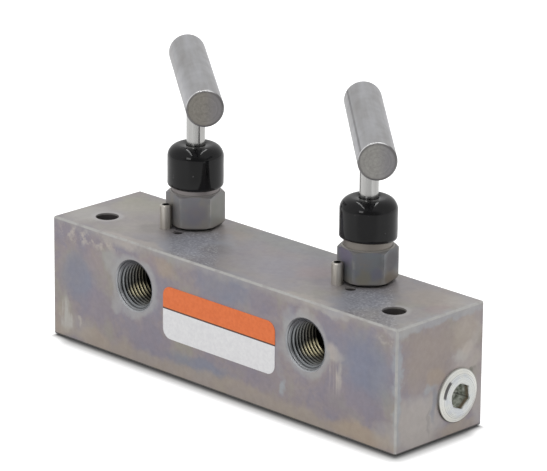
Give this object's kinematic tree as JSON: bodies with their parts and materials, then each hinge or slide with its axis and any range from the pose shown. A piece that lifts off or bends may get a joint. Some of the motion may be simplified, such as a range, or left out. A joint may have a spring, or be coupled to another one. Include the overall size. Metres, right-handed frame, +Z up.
{
  "type": "hydraulic manifold",
  "caption": "Oblong steel hydraulic manifold block: threaded outlet ports in front, each shut by a needle valve with a T-handle on top; plugged gallery at one end, inlet port at the other.",
  "frame": {"origin": "middle of the block's bottom face", "axes": "+Z up along the valve stems, +X along the block towards the plugged end of the gallery, -Y the side with the outlet ports"},
  "size_m": [0.1628, 0.0569, 0.1],
  "materials": {
    "plated_steel": "satin zinc plating with soft iridescent blotches",
    "dark_plated_steel": "satin dark plating",
    "zinc_plated_steel": "bright zinc plating",
    "bar_steel": "satin zinc plating",
    "polished_steel": "ground and polished",
    "spring_steel": "oiled spring steel",
    "black_vinyl": "glossy soft vinyl",
    "black_rubber": "matte",
    "white_plastic": "matte",
    "brass_ring": "turned",
    "label_film": "satin film, orange band over white"
  },
  "bodies": {
    "root": {"manifold_block": "plated_steel", "front_label": "label_film", "gallery_plug": "zinc_plated_steel", "gallery_plug_o_ring": "black_rubber", "left_bonnet": "dark_plated_steel", "left_bonnet_seal": "brass_ring", "left_gland_nut": "zinc_plated_steel", "left_stem_o_ring": "black_rubber", "left_backup_ring": "white_plastic", "left_dust_cap": "black_vinyl", "left_lock_pin": "spring_steel", "right_bonnet": "dark_plated_steel", "right_bonnet_seal": "brass_ring", "right_gland_nut": "zinc_plated_steel", "right_stem_o_ring": "black_rubber", "right_backup_ring": "white_plastic", "right_dust_cap": "black_vinyl", "right_lock_pin": "spring_steel"},
    "left_needle": {"left_needle_tip": "polished_steel"},
    "left_spindle": {"left_stem": "polished_steel", "left_handle_bar": "bar_steel"},
    "right_needle": {"right_needle_tip": "polished_steel"},
    "right_spindle": {"right_stem": "polished_steel", "right_handle_bar": "bar_steel"}
  },
  "joints": [
    {"name": "left_lift", "type": "slide", "parent": "root", "child": "left_needle", "axis": [0, 0, 1], "range_m": [0, 0.00292]},
    {"name": "left_turn", "type": "hinge", "parent": "left_needle", "child": "left_spindle", "pos_m": [-0.04025, 0.0083, 0.0937], "axis": [0, 0, 1], "range_deg": [0, 990]},
    {"name": "right_lift", "type": "slide", "parent": "root", "child": "right_needle", "axis": [0, 0, 1], "range_m": [0, 0.00292]},
    {"name": "right_turn", "type": "hinge", "parent": "right_needle", "child": "right_spindle", "pos_m": [0.04025, 0.0083, 0.0937], "axis": [0, 0, 1], "range_deg": [0, 990]}
  ],
  "couplings": [
    {"joint": "left_lift", "follows": "left_turn", "m_per_rad": 0.00016843},
    {"joint": "right_lift", "follows": "right_turn", "m_per_rad": 0.00016843}
  ]
}
